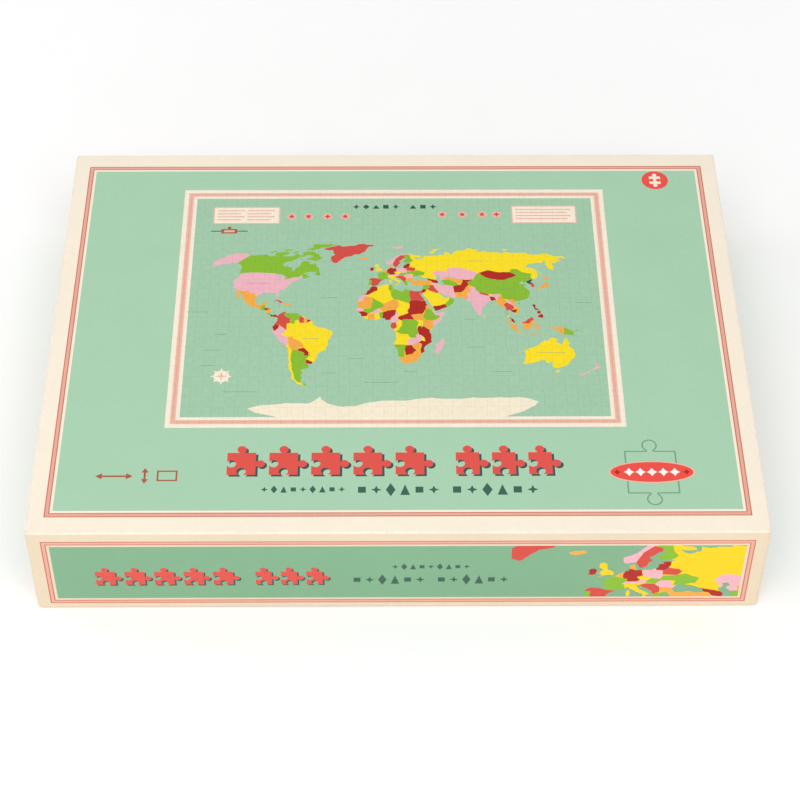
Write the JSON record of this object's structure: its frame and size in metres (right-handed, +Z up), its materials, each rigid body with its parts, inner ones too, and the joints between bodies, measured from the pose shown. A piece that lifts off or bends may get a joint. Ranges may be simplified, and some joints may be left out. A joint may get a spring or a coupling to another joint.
{
  "type": "boxed jigsaw puzzle",
  "caption": "Flat rectangular set-up box with a full-depth lift-off lid printed with a world map, over a tray that holds a film bag of loose jigsaw pieces.",
  "frame": {"origin": "centre of the footprint on the surface that the box stands on", "axes": "+X along the long side, -Y out of the front wall, +Z up through the lid's printed panel"},
  "size_m": [0.37, 0.282, 0.061],
  "materials": {
    "printed_paper": "satin",
    "tray_paper": "matte",
    "greyboard": "matte",
    "paper_tape": "matte",
    "clear_film": "gloss",
    "loose_pieces": "matte",
    "puzzle_piece": "satin"
  },
  "bodies": {
    "tray": {"tray_board": "greyboard", "tray_wrap": "tray_paper", "tray_base_sheet": "tray_paper", "tray_corner_stay_back_right": "paper_tape", "tray_corner_stay_back_left": "paper_tape", "tray_corner_stay_front_left": "paper_tape", "tray_corner_stay_front_right": "paper_tape"},
    "lid": {"lid_board": "greyboard", "lid_wrap": "printed_paper", "lid_corner_stay_back_right": "paper_tape", "lid_corner_stay_back_left": "paper_tape", "lid_corner_stay_front_left": "paper_tape", "lid_corner_stay_front_right": "paper_tape"},
    "bag": {"bag_film": "clear_film", "piece_pile": "loose_pieces", "puzzle_piece_01": "puzzle_piece", "puzzle_piece_02": "puzzle_piece", "puzzle_piece_03": "puzzle_piece", "puzzle_piece_04": "puzzle_piece", "puzzle_piece_05": "puzzle_piece", "puzzle_piece_06": "puzzle_piece", "puzzle_piece_07": "puzzle_piece", "puzzle_piece_08": "puzzle_piece", "puzzle_piece_09": "puzzle_piece", "puzzle_piece_10": "puzzle_piece", "puzzle_piece_11": "puzzle_piece", "puzzle_piece_12": "puzzle_piece", "puzzle_piece_13": "puzzle_piece", "puzzle_piece_14": "puzzle_piece", "puzzle_piece_15": "puzzle_piece", "puzzle_piece_16": "puzzle_piece", "puzzle_piece_17": "puzzle_piece", "puzzle_piece_18": "puzzle_piece", "puzzle_piece_19": "puzzle_piece", "puzzle_piece_20": "puzzle_piece", "puzzle_piece_21": "puzzle_piece", "puzzle_piece_22": "puzzle_piece", "puzzle_piece_23": "puzzle_piece", "puzzle_piece_24": "puzzle_piece", "puzzle_piece_25": "puzzle_piece", "puzzle_piece_26": "puzzle_piece", "puzzle_piece_27": "puzzle_piece", "puzzle_piece_28": "puzzle_piece", "puzzle_piece_29": "puzzle_piece", "puzzle_piece_30": "puzzle_piece", "puzzle_piece_31": "puzzle_piece", "puzzle_piece_32": "puzzle_piece", "puzzle_piece_33": "puzzle_piece", "puzzle_piece_34": "puzzle_piece", "puzzle_piece_35": "puzzle_piece", "puzzle_piece_36": "puzzle_piece", "puzzle_piece_37": "puzzle_piece", "puzzle_piece_38": "puzzle_piece", "puzzle_piece_39": "puzzle_piece", "puzzle_piece_40": "puzzle_piece"}
  },
  "joints": [
    {"name": "lid_lift", "type": "slide", "parent": "tray", "child": "lid", "axis": [0, 0, 1], "range_m": [0, 0.16]},
    {"name": "bag_lift", "type": "slide", "parent": "tray", "child": "bag", "axis": [0, 0, 1], "range_m": [0, 0.06]}
  ],
  "couplings": [
    {"joint": "bag_lift", "follows": "lid_lift", "ratio": 0.375}
  ]
}
